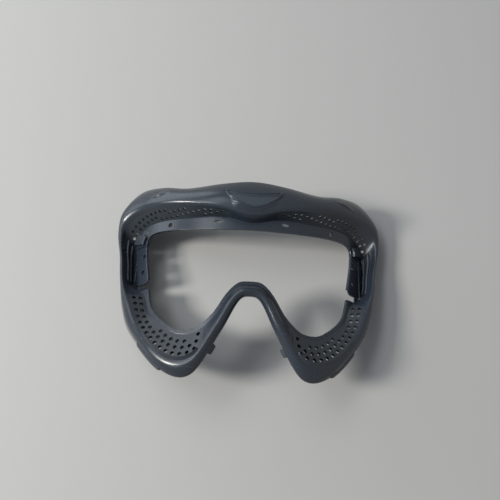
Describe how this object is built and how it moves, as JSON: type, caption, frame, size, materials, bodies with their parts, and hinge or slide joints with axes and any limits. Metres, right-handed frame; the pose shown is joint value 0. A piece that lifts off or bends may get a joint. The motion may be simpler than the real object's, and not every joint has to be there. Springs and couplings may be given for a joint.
{
  "type": "protective goggle frame",
  "caption": "Wraparound sports goggle frame with vented brow and cheeks, lens seat, springy lens clips and slots for a head strap.",
  "frame": {"origin": "middle of the frame's outline in plan, on the surface that it lies on", "axes": "+X across the face to the right as seen from the front, +Y from the nose to the brow, +Z out through the lens opening"},
  "size_m": [0.1832, 0.1305, 0.0538],
  "materials": {
    "shell_plastic": "semi-gloss blue-black moulded plastic",
    "carrier_plastic": "satin blue-black moulded plastic",
    "screen_plastic": "satin blue-black perforated plastic",
    "trim_plastic": "semi-gloss blue-black moulded plastic"
  },
  "bodies": {
    "frame": {"goggle_shell": "shell_plastic", "face_flange": "shell_plastic", "lens_carrier": "carrier_plastic", "badge_plate": "trim_plastic", "brow_ridge": "trim_plastic", "brow_vent_left": "screen_plastic", "brow_vent_right": "screen_plastic", "cheek_vent_left": "screen_plastic", "cheek_vent_right": "screen_plastic", "rib_outer_left": "trim_plastic", "rib_outer_right": "trim_plastic", "rib_inner_left": "trim_plastic", "rib_inner_right": "trim_plastic", "lens_stop_left": "trim_plastic", "lens_stop_right": "trim_plastic", "mask_lug_left": "trim_plastic", "mask_lug_right": "trim_plastic", "nose_hook_left": "trim_plastic", "nose_hook_right": "trim_plastic"},
    "clip_left": {"lens_clip_left": "carrier_plastic"},
    "clip_right": {"lens_clip_right": "carrier_plastic"}
  },
  "joints": [
    {"name": "clip_left_bend", "type": "hinge", "parent": "frame", "child": "clip_left", "pos_m": [-0.0755, 0.00948, 0.00799], "axis": [0, -1, 0], "range_deg": [0, 20], "stiffness_Nm_per_rad": 0.05},
    {"name": "clip_right_bend", "type": "hinge", "parent": "frame", "child": "clip_right", "pos_m": [0.0755, 0.00948, 0.00799], "axis": [0, 1, 0], "range_deg": [0, 20], "stiffness_Nm_per_rad": 0.05}
  ]
}
